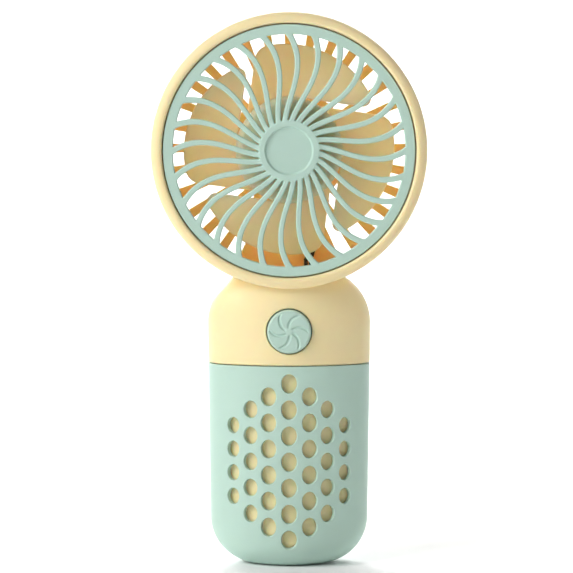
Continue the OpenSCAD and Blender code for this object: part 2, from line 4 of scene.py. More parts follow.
import bpy
import numpy as np
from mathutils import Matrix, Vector
from mathutils.geometry import delaunay_2d_cdt


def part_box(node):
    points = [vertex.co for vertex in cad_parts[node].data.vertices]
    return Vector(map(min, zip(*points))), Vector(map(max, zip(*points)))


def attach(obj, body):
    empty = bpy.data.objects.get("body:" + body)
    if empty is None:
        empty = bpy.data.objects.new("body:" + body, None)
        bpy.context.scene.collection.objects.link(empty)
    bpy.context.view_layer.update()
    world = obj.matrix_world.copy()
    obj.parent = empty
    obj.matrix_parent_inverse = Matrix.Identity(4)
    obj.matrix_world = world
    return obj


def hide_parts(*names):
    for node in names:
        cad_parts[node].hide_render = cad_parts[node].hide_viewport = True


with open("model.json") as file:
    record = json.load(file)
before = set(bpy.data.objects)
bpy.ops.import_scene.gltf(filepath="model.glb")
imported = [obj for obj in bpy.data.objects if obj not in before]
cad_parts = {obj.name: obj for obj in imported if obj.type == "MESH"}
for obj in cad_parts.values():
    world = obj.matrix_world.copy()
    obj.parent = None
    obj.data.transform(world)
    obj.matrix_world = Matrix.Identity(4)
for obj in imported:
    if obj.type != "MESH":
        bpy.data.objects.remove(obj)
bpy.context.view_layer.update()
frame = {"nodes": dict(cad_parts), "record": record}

MM = 0.001


# ---- Places and sizes, in millimetres ----

def span(node):
    """Lowest and highest corner of a CAD node, in millimetres."""
    low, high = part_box(node)
    return np.array(low) / MM, np.array(high) / MM


grille_low, grille_high = span("front_grille")
front_low, front_high = span("front_shell")
_, rear_high = span("rear_shell")
sleeve_low, sleeve_high = span("grip_sleeve")
fan_low, fan_high = span("impeller")
cap_low, cap_high = span("button_cap")
usb_low, usb_high = span("usb_shell")
led_low, led_high = span("charge_led")
screws_low, screws_high = span("shell_screws")

HEAD_X = (grille_low[0] + grille_high[0]) / 2
HEAD_Z = (grille_low[2] + grille_high[2]) / 2
HEAD_R = front_high[2] - HEAD_Z
HEAD_FRONT = front_low[1]
HEAD_BACK = rear_high[1]
GRILLE_R = (grille_high[0] - grille_low[0]) / 2
PLATE_RISE = 0.3                                        # the cage's middle plate stands proud of its face
GRILLE_FACE = grille_low[1] + PLATE_RISE
HALF_W = (sleeve_high[0] - sleeve_low[0]) / 2 + 0.2     # the handle is widest above the sleeve
HALF_T = -sleeve_low[1]
SLEEVE_TOP = sleeve_high[2]
DOME_LOW = SLEEVE_TOP + 0.3                             # a narrow gap shows between the sleeve and the dome
BUTTON_Z = (cap_low[2] + cap_high[2]) / 2
BUTTON_FRONT = cap_low[1]


# ---- Meshes ----

class Shape:
    """Vertices, faces and normals of a piece while it is being built, in millimetres."""

    def __init__(self):
        self.points, self.normals, self.faces, self.count = [], [], [], 0

    def add(self, points, normals=None):
        """Adds vertices and gives the number of the first."""
        start = self.count
        points = np.asarray(points, float).reshape(-1, 3)
        normals = np.zeros_like(points) if normals is None else np.asarray(normals, float).reshape(-1, 3)
        self.points.append(points)
        self.normals.append(normals)
        self.count += len(points)
        return start

    def grid(self, numbers, around=False, along=False):
        """Quads between the rows and columns of a grid of vertex numbers."""
        a = np.asarray(numbers)
        if around:
            a = np.concatenate([a, a[:, :1]], 1)
        if along:
            a = np.concatenate([a, a[:1]], 0)
        quads = np.stack([a[:-1, :-1], a[:-1, 1:], a[1:, 1:], a[1:, :-1]], -1)
        self.faces.extend(quads.reshape(-1, 4).tolist())

    def fan(self, ring, centre, normal=None):
        """Triangles from a closed ring of vertex numbers to one new point."""
        c = self.add([centre], None if normal is None else [normal])
        ring = list(ring)
        self.faces.extend([[ring[i], ring[(i + 1) % len(ring)], c] for i in range(len(ring))])

    def made(self, name, own_normals=False, sharp_deg=30.0):
        """The finished Blender object, with coinciding vertices joined and faces turned outwards."""
        points, normals = np.concatenate(self.points), np.concatenate(self.normals)
        keys = np.round(points, 4) + 0.0
        _, first, number = np.unique(keys, axis=0, return_index=True, return_inverse=True)
        number = number.ravel()
        faces = []
        for face in self.faces:
            joined = [int(number[i]) for i in face]
            kept = [v for i, v in enumerate(joined) if v != joined[i - 1]]
            if len(set(kept)) == len(kept) and len(kept) > 2:
                faces.append(kept)
        used = np.unique([v for face in faces for v in face])
        renumber = np.full(len(first), -1)
        renumber[used] = np.arange(len(used))
        faces = [[int(renumber[v]) for v in face] for face in faces]
        points, normals = points[first][used], normals[first][used]
        if own_normals:
            faces = turned_to(points, normals, faces)
        mesh = bpy.data.meshes.new(name)
        mesh.from_pydata((points * MM).tolist(), [], faces)
        mesh.validate()
        mesh.shade_smooth()
        if own_normals:
            mesh.normals_split_custom_set_from_vertices(normals.tolist())
        else:
            mesh.set_sharp_from_angle(angle=math.radians(sharp_deg))
        made = bpy.data.objects.new(name, mesh)
        bpy.context.scene.collection.objects.link(made)
        return made


def turned_to(points, normals, faces):
    """The faces, each turned so that it faces the way its vertices' normals point."""
    turned = []
    for face in faces:
        a, b, c = points[face[0]], points[face[1]], points[face[2]]
        flat = np.cross(b - a, c - a)
        if len(face) == 4:
            flat = flat + np.cross(c - a, points[face[3]] - a)
        turned.append(face if flat @ normals[face].sum(0) >= 0 else face[::-1])
    return turned


def carve(base, tool, operation):
    """Joins, cuts or intersects a closed mesh with another one, which is used up."""
    change = base.modifiers.new("carve", "BOOLEAN")
    change.operation = operation
    change.solver = "MANIFOLD"
    change.object = tool
    graph = bpy.context.evaluated_depsgraph_get()
    mesh = bpy.data.meshes.new_from_object(base.evaluated_get(graph))
    base.modifiers.clear()
    base.data = mesh
    bpy.data.objects.remove(tool)
    return base


def smoothed(made, sharp_deg=30.0):
    """Smooth shading, with sharp edges where the faces turn by more than the angle given."""
    made.data.shade_smooth()
    made.data.set_sharp_from_angle(angle=math.radians(sharp_deg))
    return made


def closed_loft(shape, rows, ends):
    """A closed solid through rings of points, with a fan at each end that has a point to go to."""
    count = len(rows[0])
    start = shape.add(np.concatenate(rows))
    numbers = start + np.arange(len(rows) * count).reshape(len(rows), count)
    shape.grid(numbers, around=True, along=ends is None)
    if ends is not None:
        shape.fan(numbers[0][::-1], ends[0])
        shape.fan(numbers[-1], ends[1])
    return shape


def turned_rows(profile, count=192):
    """Rings about the head's axis through (radius, y) points."""
    angle = np.arange(count) * 2 * math.pi / count
    rows = []
    for r, y in profile:
        ys = np.full(count, float(y))
        rows.append(np.stack([HEAD_X + r * np.cos(angle), ys, HEAD_Z + r * np.sin(angle)], 1))
    return rows


def turned_solid(name, profile, count=192, ring=False):
    """A solid of revolution about the head's axis. A ring has a closed profile; any other is closed at both
    ends by a fan to the axis."""
    shape = Shape()
    rows = turned_rows(profile, count)
    ends = None if ring else ((HEAD_X, profile[0][1], HEAD_Z), (HEAD_X, profile[-1][1], HEAD_Z))
    return outward(closed_loft(shape, rows, ends).made(name))


def outward(made):
    """Turns all faces outwards if the mesh is inside out."""
    mesh = made.data
    mesh.calc_loop_triangles()
    points = np.array([v.co for v in mesh.vertices])
    tris = np.array([t.vertices for t in mesh.loop_triangles])
    a, b, c = points[tris[:, 0]], points[tris[:, 1]], points[tris[:, 2]]
    if (a * np.cross(b, c)).sum() < 0:
        mesh.flip_normals()
    return made


def bar(name, x, z, r, y0, y1, count=48):
    """A round bar along Y."""
    angle = np.arange(count) * 2 * math.pi / count
    rows = []
    for y in (y0, y1):
        rows.append(np.stack([x + r * np.cos(angle), np.full(count, float(y)), z + r * np.sin(angle)], 1))
    return outward(closed_loft(Shape(), rows, ((x, y0, z), (x, y1, z))).made(name))


def arc(centre, radius, start_deg, end_deg, steps=6):
    """Points on an arc in a plane."""
    angle = np.radians(np.linspace(start_deg, end_deg, steps + 1))
    return [(centre[0] + radius * math.cos(a), centre[1] + radius * math.sin(a)) for a in angle]


# ---- Flat or curved skins with filleted holes ----

def facing(loop, anticlockwise):
    """The loop in the wanted direction."""
    x, y = loop[:, 0], loop[:, 1]
    area = (x * np.roll(y, -1) - y * np.roll(x, -1)).sum()
    return loop if (area > 0) == anticlockwise else loop[::-1]


def left_of(loop):
    """Unit vectors to the left of a closed loop's direction of travel."""
    along = np.roll(loop, -1, 0) - np.roll(loop, 1, 0)
    along = along / np.linalg.norm(along, axis=1)[:, None]
    return np.stack([-along[:, 1], along[:, 0]], 1)


def inside(points, loop):
    """Which points lie inside a closed loop."""
    hit = np.zeros(len(points), bool)
    near = np.flatnonzero(((points >= loop.min(0)) & (points <= loop.max(0))).all(1))
    if len(near) == 0:
        return hit
    x, y = points[near, 0], points[near, 1]
    found = np.zeros(len(near), bool)
    for (x0, y0), (x1, y1) in zip(loop, np.roll(loop, -1, 0)):
        crosses = (y0 > y) != (y1 > y)
        if crosses.any():
            found ^= crosses & (x < (x1 - x0) * (y - y0) / (y1 - y0) + x0)
    hit[near] = found
    return hit


def filled(outer, holes, seeds, clear):
    """Triangles that fill the area between an outer loop and its holes, through the seed points that are
    further than "clear" from them."""
    loops = [outer, *holes]
    edge = np.concatenate(loops)
    keep = inside(seeds, outer)
    for hole in holes:
        keep &= ~inside(seeds, hole)
    seeds = seeds[keep]
    parts = np.array_split(seeds, max(1, len(seeds) // 400))    # few enough at a time to fit in memory
    near = np.concatenate([np.min(((part[:, None] - edge[None]) ** 2).sum(2), 1) for part in parts])
    seeds = seeds[near > clear ** 2]
    points = np.concatenate([edge, seeds])
    edges, start = [], 0
    for loop in loops:
        edges += [(start + i, start + (i + 1) % len(loop)) for i in range(len(loop))]
        start += len(loop)
    out = delaunay_2d_cdt([Vector(p) for p in points], edges, [], 0, 1e-7)
    number = np.array([o[0] if o else -1 for o in out[3]])
    tris = number[np.array([t for t in out[2] if len(t) == 3])]
    tris = tris[(tris >= 0).all(1)]
    middle = points[tris].mean(1)
    keep = inside(middle, outer)
    for hole in holes:
        keep &= ~inside(middle, hole)
    return seeds, tris[keep]


def surface_normal(place, at, high):
    """Unit normals of the surface that place() gives, on the side that its height grows to."""
    e = 0.01                                # a small step along the surface
    h = np.full(len(at), float(high))
    across = place(at + [e, 0], h) - place(at - [e, 0], h)
    up = place(at + [0, e], h) - place(at - [0, e], h)
    n = np.cross(across, up)
    n = n / np.linalg.norm(n, axis=1)[:, None]
    return n * np.sign((n * (place(at, h + e) - place(at, h))).sum(1))[:, None]


def edge_profile(thick, top_r, low_r, steps=4):
    """The rounded edge of a skin, from its outer face to its inner one. Each row is (inset, depth, and the
    inset and depth parts of the normal)."""
    rows = []
    for a in np.radians(np.linspace(0, 90, steps + 1)):
        rows.append((top_r * (1 - math.sin(a)), top_r * (1 - math.cos(a)), -math.sin(a), -math.cos(a)))
    for a in np.radians(np.linspace(0, 90, steps + 1)):
        rows.append((low_r * (1 - math.cos(a)), thick - low_r * (1 - math.sin(a)), -math.cos(a), math.sin(a)))
    return np.array(rows)


def skin(shape, place, outer, holes, seeds, clear, outer_profile, hole_profile, thick, outer_in=None):
    """A skin of even thickness over a surface, with rounded edges round its holes. place(at, height) gives
    points on the surface. outer_in is the way in from each point of the outer loop: where it is zero, the
    edge stays open."""
    outer, holes = facing(outer, True), [facing(h, False) for h in holes]
    tops, lows, top_numbers, low_numbers = [], [], [], []
    for i, loop in enumerate([outer, *holes]):
        profile = outer_profile if i == 0 else hole_profile
        way = outer_in if i == 0 and outer_in is not None else left_of(loop)
        closed = np.abs(way).sum(1) > 0
        numbers = []
        step = place(loop + 0.01 * way, np.zeros(len(loop))) - place(loop, np.zeros(len(loop)))
        length = np.linalg.norm(step, axis=1)[:, None]
        step = np.where(length > 1e-9, step / np.maximum(length, 1e-9), 0)
        for inset, depth, n_in, n_down in profile:
            at = loop + inset * way
            up = surface_normal(place, at, 0)
            normals = n_in * step - n_down * up
            normals[~closed] = up[~closed] * (-1 if depth > thick / 2 else 1)
            start = shape.add(place(at, np.full(len(loop), -float(depth))), normals)
            numbers.append(start + np.arange(len(loop)))
        numbers = np.array(numbers)
        both = closed & np.roll(closed, -1)
        for j in np.flatnonzero(both):
            k = (j + 1) % len(loop)
            shape.grid(np.stack([numbers[:, j], numbers[:, k]], 1))
        tops.append(loop + profile[0][0] * way)
        lows.append(loop + profile[-1][0] * way)
        top_numbers.append(numbers[0])
        low_numbers.append(numbers[-1])
    for loops, numbers, depth, side in ((tops, top_numbers, 0.0, 1), (lows, low_numbers, thick, -1)):
        inner, tris = filled(loops[0], loops[1:], seeds, clear)
        up = surface_normal(place, inner, -depth if depth else 0)
        start = shape.add(place(inner, np.full(len(inner), -depth)), side * up)
        number = np.concatenate([*numbers, start + np.arange(len(inner))])
        shape.faces.extend(number[tris].tolist())
    return top_numbers[0], low_numbers[0]


# ---- The handle's outer surface ----

BOTTOM_X, BOTTOM_R = 9.6, 14.6          # round bottom corners, seen from the front
TOP_X, TOP_Z, TOP_R = 8.5, 74.4, 16.6   # round shoulders
LOW_R = 8.0                             # bottom edge, seen from the side
HIGH_Z, HIGH_R = 84.0, 7.0              # top edge, seen from the side
SIDE_R = 9.0                            # sides of the cross-section
SIDE_X = HALF_W - SIDE_R
FACE_R = (SIDE_X ** 2 + HALF_T ** 2 - SIDE_R ** 2) / (2 * (HALF_T - SIDE_R))
FACE_Y = FACE_R - HALF_T
BLEND = math.asin(SIDE_X / (FACE_R - SIDE_R))
QUARTER = FACE_R * BLEND + SIDE_R * (math.pi / 2 - BLEND)


def up_to_z(q):
    """Height of a distance q up the handle's surface, measured from the edge of its flat base."""
    turn = LOW_R * math.pi / 2
    return np.where(q < turn, LOW_R * (1 - np.cos(np.clip(q, -turn, turn) / LOW_R)), q - turn + LOW_R)


def z_to_up(z):
    """Distance up the handle's surface of a height z."""
    turn = LOW_R * math.pi / 2
    z = np.asarray(z, float)
    return np.where(z < LOW_R, LOW_R * np.arccos(1 - np.clip(z, 0, LOW_R) / LOW_R), z - LOW_R + turn)


def half_width(q):
    """Half the handle's width at a distance q up its surface."""
    z = up_to_z(q)
    low = BOTTOM_X + np.sign(q) * np.sqrt(np.clip(2 * BOTTOM_R * z - z ** 2, 0, None))
    low_w = BOTTOM_X + BOTTOM_R
    straight = low_w + (TOP_X + TOP_R - low_w) * (z - BOTTOM_R) / (TOP_Z - BOTTOM_R)
    high = TOP_X + np.sqrt(np.clip(TOP_R ** 2 - (z - TOP_Z) ** 2, 0, None))
    return np.where(z < BOTTOM_R, low, np.where(z < TOP_Z, straight, high))


def half_depth(q):
    """Half the handle's depth at a distance q up its surface."""
    z = up_to_z(q)
    low = HALF_T - LOW_R + np.sign(q) * np.sqrt(np.clip(2 * LOW_R * z - z ** 2, 0, None))
    high = HALF_T - HIGH_R + np.sqrt(np.clip(HIGH_R ** 2 - (z - HIGH_Z) ** 2, 0, None))
    return np.where(z < LOW_R, low, np.where(z < HIGH_Z, HALF_T, high))


def section(p):
    """Point of the full cross-section at distance p round it, from the right-hand side past the front."""
    p = np.mod(p, 4 * QUARTER)
    front = p < 2 * QUARTER
    s = np.where(front, QUARTER - p, p - 3 * QUARTER)
    t = np.abs(s)
    on_face = t < FACE_R * BLEND
    a = np.where(on_face, t / FACE_R, BLEND + (t - FACE_R * BLEND) / SIDE_R)
    x = np.where(on_face, FACE_R * np.sin(a), SIDE_X + SIDE_R * np.sin(a))
    y = np.where(on_face, FACE_R * np.cos(a) - FACE_Y, SIDE_R * np.cos(a))
    return np.sign(s) * x, np.where(front, -y, y)


def bare_handle(at):
    """Points on the handle's outer surface, by (distance round, distance up)."""
    x, y = section(at[:, 0])
    q = at[:, 1]
    return np.stack([x * half_width(q) / HALF_W, y * half_depth(q) / HALF_T, up_to_z(q)], 1)


def on_handle(at, high):
    """Points at a height above the handle's outer surface, by (distance round, distance up)."""
    at = np.asarray(at, float)
    e = 0.02                                # a small step along the surface
    across = bare_handle(at + [e, 0]) - bare_handle(at - [e, 0])
    up = bare_handle(at + [0, e]) - bare_handle(at - [0, e])
    n = np.cross(across, up)
    n = n / np.linalg.norm(n, axis=1)[:, None]
    outer = bare_handle(at)
    out = outer - [0, 0, 40]                # away from a point well inside the handle
    n = n * np.where((n * out).sum(1) >= 0, 1, -1)[:, None]
    return outer + n * np.asarray(high)[:, None]


def round_place(x, z, front=True):
    """Distance round and up the handle of a point seen from the front, at x across and z up."""
    q = z_to_up(z)
    full = np.clip(np.abs(x) * HALF_W / half_width(q), 0, HALF_W)
    face = FACE_R * np.arcsin(np.clip(full / FACE_R, -1, 1))
    side = FACE_R * BLEND + SIDE_R * (np.arcsin(np.clip((full - SIDE_X) / SIDE_R, -1, 1)) - BLEND)
    s = np.sign(x) * np.where(full < FACE_R * math.sin(BLEND), face, side)
    return np.stack([QUARTER - s if front else 3 * QUARTER + s, q], 1)


def handle_ring(z, high, count=168):
    """One ring of points round the handle."""
    p = np.arange(count) * 4 * QUARTER / count
    q = np.full(count, float(z_to_up(z)))
    return on_handle(np.stack([p, q], 1), np.full(count, float(high)))


# ---- Front grille ----

SPOKES = 28
SPOKE_W = 1.6
SPOKE_TURN_R = 24.3         # the spokes' S turns back at this radius
RING_IN = GRILLE_R - 3.1    # inner radius of the outer ring
PLATE_R = 9.3               # radius of the middle plate, where the gaps start
CORNER = 0.15               # rounding of the gaps' outer corners
PLATE_CORNER = 0.25         # rounding of their inner ends
GRILLE_T = 1.9              # depth of the spokes and the plate
RING_T = 1.3                # thickness of the ring's rim, which is deeper than the spokes


def spoke_angle(r):
    """Angle in degrees of the middle of a curved spoke at radius r."""
    return -5.7 + np.where(r < SPOKE_TURN_R, 0.06, 0.05) * (r - SPOKE_TURN_R) ** 2


def grille_gap(number):
    """The opening between one spoke and the next, seen from the front."""
    r = np.concatenate([
        PLATE_R + PLATE_CORNER * (1 - np.cos(np.linspace(0, math.pi / 2, 5))),
        np.linspace(PLATE_R + 0.9, RING_IN - 0.7, 36),
        RING_IN - CORNER * (1 - np.sin(np.linspace(0, math.pi / 2, 7))),
    ])
    slope = np.radians(spoke_angle(r + 0.05) - spoke_angle(r - 0.05)) * 10 * r
    width = SPOKE_W + 0.2 * step_up(r, 24, 34)              # a little wider further out, and at the ring
    width = width + 0.2 * np.clip((r - RING_IN + 1.2) / 1.2, 0, 1) ** 2
    half = np.degrees(np.arcsin(width / 2 / r * np.sqrt(1 + slope ** 2)))
    pitch = 360 / SPOKES
    room = pitch / 2 - half
    low, high = (PLATE_R + PLATE_CORNER - r) / PLATE_CORNER, (r - RING_IN + CORNER) / CORNER
    room = room * np.sqrt(np.clip(1 - np.clip(low, 0, 1) ** 2, 0, 1))
    room = room - np.degrees(CORNER / r) * (1 - np.sqrt(np.clip(1 - np.clip(high, 0, 1) ** 2, 0, 1)))
    middle = spoke_angle(r) + pitch * (number + 0.5)
    one = np.radians(middle - room)
    other = np.radians(middle + room)
    across = np.linspace(one[-1], other[-1], 9)[1:-1]
    angle = np.concatenate([one, across, other[::-1][:-1]])
    radius = np.concatenate([r, np.full(7, RING_IN), r[::-1][:-1]])
    return np.stack([radius * np.cos(angle), radius * np.sin(angle)], 1)


def step_up(x, start, end):
    """A smooth step from 0 to 1 between two values of x."""
    t = np.clip((x - start) / (end - start), 0, 1)
    return t * t * (3 - 2 * t)


def on_grille(at, high):
    """Points on the grille's face: the middle plate is raised and has a shallow recess."""
    at = np.asarray(at, float)
    r = np.hypot(at[:, 0], at[:, 1])
    rise = PLATE_RISE * (1 - step_up(r, 8.6, 10.4)) - 0.75 * (1 - step_up(r, 6.8, 7.5))
    rise = np.where(np.asarray(high) < -1.0, 0, rise)       # the back is flat
    return np.stack([HEAD_X + at[:, 0], GRILLE_FACE - rise - np.asarray(high), HEAD_Z + at[:, 1]], 1)


def build_grille():
    """The cage: curved spokes between a recessed middle plate and a ring with a deep rim."""
    shape = Shape()
    around = SPOKES * 8
    angle = np.arange(around) * 2 * math.pi / around
    outer = (GRILLE_R - 0.1) * np.stack([np.cos(angle), np.sin(angle)], 1)
    deep = grille_high[1] - GRILLE_FACE
    rim = list(edge_profile(deep, 0.35, 0.15, 4))
    low_r, foot_r = 0.15, 0.2               # the rim's inner edge, and the fillet at its foot
    for a in np.radians([0, 45, 90]):
        n_in, n_down = math.sin(a), math.cos(a)
        rim.append((RING_T - low_r * (1 - n_in), deep - low_r * (1 - n_down), n_in, n_down))
    for a in np.radians([90, 45, 0]):
        n_in, n_down = math.sin(a), math.cos(a)
        rim.append((RING_T + foot_r * (1 - n_in), GRILLE_T + foot_r * (1 - n_down), n_in, n_down))
    seeds = []
    radii = list(np.arange(0.6, 6.5, 0.9))                  # coarse on the recess,
    radii += list(np.arange(6.6, 7.75, 0.15))               # fine on its step,
    radii += list(np.arange(8.0, 10.6, 0.3))                # on the plate's slope
    radii += list(np.arange(11.2, GRILLE_R, 0.7))           # and on the spokes and the ring
    for r in radii:
        count = max(12, int(2 * math.pi * r / (0.35 if 6.5 < r < 10.6 else 0.6)))
        a = np.arange(count) * 2 * math.pi / count + r
        seeds.append(np.stack([r * np.cos(a), r * np.sin(a)], 1))
    gaps = [grille_gap(i) for i in range(SPOKES)]
    gap_edge = edge_profile(GRILLE_T, 0.45, 0.25)
    skin(shape, on_grille, outer, gaps, np.concatenate(seeds), 0.12, np.array(rim), gap_edge, GRILLE_T)
    return shape.made("front_cage", own_normals=True)


# ---- Grip sleeve ----

# Columns of oval holes, as (x, number, width, height, pitch). All but the middle one are on both sides.
HOLES = [
    (0.0, 7, 4.8, 5.9, 8.0),
    (6.3, 6, 4.6, 5.7, 8.0),
    (11.8, 5, 4.1, 5.3, 8.0),
    (17.1, 4, 3.5, 4.9, 7.28),
]
HOLES_Z = 32.8              # height of the middle of the pattern
SLEEVE_T = 1.8


def sleeve_holes():
    """Outlines of the holes in front and at the back, on the handle's surface."""
    found = []
    angle = np.arange(40) * 2 * math.pi / 40
    for x, count, wide, tall, pitch in HOLES:
        for side in ([1] if x == 0 else [-1, 1]):
            for i in range(count):
                z = HOLES_Z + (i - (count - 1) / 2) * pitch
                xs = side * x + wide / 2 * np.cos(angle)
                zs = z + tall / 2 * np.sin(angle)
                for front in (True, False):
                    found.append(round_place(xs, zs, front))
    return found


def build_sleeve():
    """The cup over the lower handle: a pierced skin and a flat base."""
    shape = Shape()
    top = float(z_to_up(SLEEVE_TOP))
    across = np.linspace(0, 4 * QUARTER, 177)
    up = np.concatenate([np.linspace(0, 12.5, 20), np.linspace(13.2, top - 0.7, 68)])
    low_row = np.stack([across, np.zeros(len(across))], 1)
    high_row = np.stack([across[::-1], np.full(len(across), top)], 1)
    right = np.stack([np.full(len(up) - 1, 4 * QUARTER), up[1:]], 1)
    left = np.stack([np.zeros(len(up) - 1), up[:0:-1]], 1)
    outer = np.concatenate([low_row, right, high_row, left])
    way = np.zeros_like(outer)
    way[len(low_row) + len(right):len(low_row) + len(right) + len(high_row)] = [0, -1]
    px, qx = np.meshgrid(across[1:-1], up[1:])
    seeds = np.stack([px.ravel(), qx.ravel()], 1)
    top_edge, hole_edge = edge_profile(SLEEVE_T, 0.3, 0.3), edge_profile(SLEEVE_T, 0.28, 0.2)
    outer_ring, inner_ring = skin(
        shape, on_handle, outer, sleeve_holes(), seeds, 0.28, top_edge, hole_edge, SLEEVE_T, outer_in=way,
    )
    count = len(across)
    shape.fan(outer_ring[:count - 1], (0, 0, 0), (0, 0, -1))
    shape.fan(inner_ring[:count - 1], (0, 0, SLEEVE_T), (0, 0, 1))
    return shape.made("pierced_grip_sleeve", own_normals=True)


# ---- Cream shells ----

WALL = 2.0                  # thickness of the dome's and the head's walls
CORE_IN = 2.15              # the core lies this far below the sleeve's outer surface
CORE_HOLLOW = 3.7           # and is hollow below this depth
DOME_EDGE = 0.35            # rounding of the dome's lower edge
FRONT_EDGE, BACK_EDGE = 2.4, 5.0    # and of the head's front and back
LIP = 0.9                   # rounding of the rim's inner edge
LEDGE_R, LEDGE_FRONT, LEDGE_BACK = 36.2, -10.4, -8.9    # the ledge that the cage rests on
SEAT_IN, SEAT_OUT, SEAT_FRONT = 12.35, 13.85, 6.5       # the tube round the motor
BOSS_R, PILOT_R, SCREW_HEAD_R = 2.6, 1.1, 1.85
SPLIT = 0.04                # half the gap between the two shells
FAR = 60.0                  # well past the shells on every side
REAR_WINDOWS = 32
WINDOW_IN, WINDOW_OUT, WINDOW_SHORT = 18.5, 37.3, 31.0
WINDOW_HALF = 3.325         # half a window's width, in degrees


def handle_body(name, rows, count=168):
    """A closed solid through rings round the handle, each given as (height, distance above the surface)."""
    rings = [handle_ring(z, high, count) for z, high in rows]
    ends = ((0, 0, rings[0][:, 2].mean()), (0, 0, rings[-1][:, 2].mean()))
    return outward(closed_loft(Shape(), rings, ends).made(name))


def well(name, outline, rows, front=True):
    """A cutter that follows the handle's front or back: outline(grow) gives its (x, z) loop and the rows are
    (grow, depth)."""
    rings = []
    for grow, depth in rows:
        loop = outline(grow)
        at = on_handle(round_place(loop[:, 0], loop[:, 1], front), np.zeros(len(loop)))
        at[:, 0], at[:, 2] = loop[:, 0], loop[:, 1]
        at[:, 1] += depth if front else -depth
        rings.append(at)
    ends = (rings[0].mean(0), rings[-1].mean(0))
    return outward(closed_loft(Shape(), rings, ends).made(name))


def round_outline(x, z, r, count=72):
    """A circle of radius r about (x, z), for well()."""
    angle = np.arange(count) * 2 * math.pi / count
    return lambda grow: np.stack([x + (r + grow) * np.cos(angle), z + (r + grow) * np.sin(angle)], 1)


def slot_outline(x, z, wide, tall, count=24):
    """A slot with round ends about (x, z), for well()."""
    flat = (wide - tall) / 2
    a = np.linspace(-math.pi / 2, math.pi / 2, count)

    def outline(grow):
        """The slot's edge, moved outwards."""
        r = tall / 2 + grow
        right = np.stack([x + flat + r * np.cos(a), z + r * np.sin(a)], 1)
        left = np.stack([x - flat - r * np.cos(a), z - r * np.sin(a)], 1)
        return np.concatenate([right, left])
    return outline


def rounded_well(size, depth):
    """Rows for well() that round the edge of the opening to a radius of the size given."""
    rows = [(size, -2.0), (size, 0.0)]
    for a in np.radians([22.5, 45, 67.5, 90]):
        rows.append((size * (1 - math.sin(a)), size * (1 - math.cos(a))))
    return rows + [(0.0, depth)]


def rear_window(number):
    """Cutter for one opening between the vanes of the rear grille, as rings of points."""
    middle = (number + 0.5) * 360 / REAR_WINDOWS
    above_dome = abs(middle - 270) < 20
    outer = WINDOW_SHORT if above_dome else WINDOW_OUT
    loop = [polar(outer, a) for a in np.linspace(-WINDOW_HALF, WINDOW_HALF, 6)]
    loop += [polar(WINDOW_IN, a) for a in np.linspace(WINDOW_HALF, -WINDOW_HALF, 4)]
    loop = facing(eased(np.array(loop), 0.35), True)
    way = -left_of(loop)
    t = math.radians(middle)
    turn = np.array([[math.cos(t), math.sin(t)], [-math.sin(t), math.cos(t)]])
    size = 0.35                             # rounding of the vanes' edges
    rows = [(size, HEAD_BACK - WALL - 1.6), (size, HEAD_BACK - WALL)]
    for a in np.radians([30, 60, 90]):
        rows.append((size * (1 - math.sin(a)), HEAD_BACK - WALL + size * (1 - math.cos(a))))
    for a in np.radians([90, 60, 30]):
        rows.append((size * (1 - math.sin(a)), HEAD_BACK - size * (1 - math.cos(a))))
    rows += [(size, HEAD_BACK), (size, HEAD_BACK + 1.5)]
    rings = []
    for grow, y in rows:
        flat = (loop + grow * way) @ turn
        rings.append(np.stack([HEAD_X + flat[:, 0], np.full(len(flat), y), HEAD_Z + flat[:, 1]], 1))
    return rings


def handle_solid():
    """The core and the dome in one solid hollow piece, before the head is joined on."""
    base = list(LOW_R * (1 - np.cos(np.linspace(0, math.pi / 2, 16))))
    middle = list(np.linspace(LOW_R + 1.0, DOME_LOW - 0.6, 52))
    dome = list(np.linspace(DOME_LOW + 0.9, TOP_Z - 0.3, 17))
    top = list(TOP_Z + TOP_R * np.sin(np.linspace(0, math.pi / 2 * 0.985, 34)))
    rows = [(z, -CORE_IN) for z in base + middle] + [(DOME_LOW, -CORE_IN), (DOME_LOW, -DOME_EDGE)]
    for a in np.radians([22.5, 45, 67.5, 90]):
        rows.append((DOME_LOW + DOME_EDGE * (1 - math.cos(a)), -DOME_EDGE * (1 - math.sin(a))))
    rows += [(z, 0.0) for z in dome + top]
    body = handle_body("cream_body", rows)
    ceiling = DOME_LOW + WALL
    rows = [(z, -CORE_HOLLOW) for z in base + middle] + [(ceiling, -CORE_HOLLOW), (ceiling, -WALL)]
    rows += [(z, -WALL) for z in list(np.linspace(ceiling + 0.5, TOP_Z - 0.3, 14)) + top]
    return carve(body, handle_body("hollow", rows, 120), "DIFFERENCE")


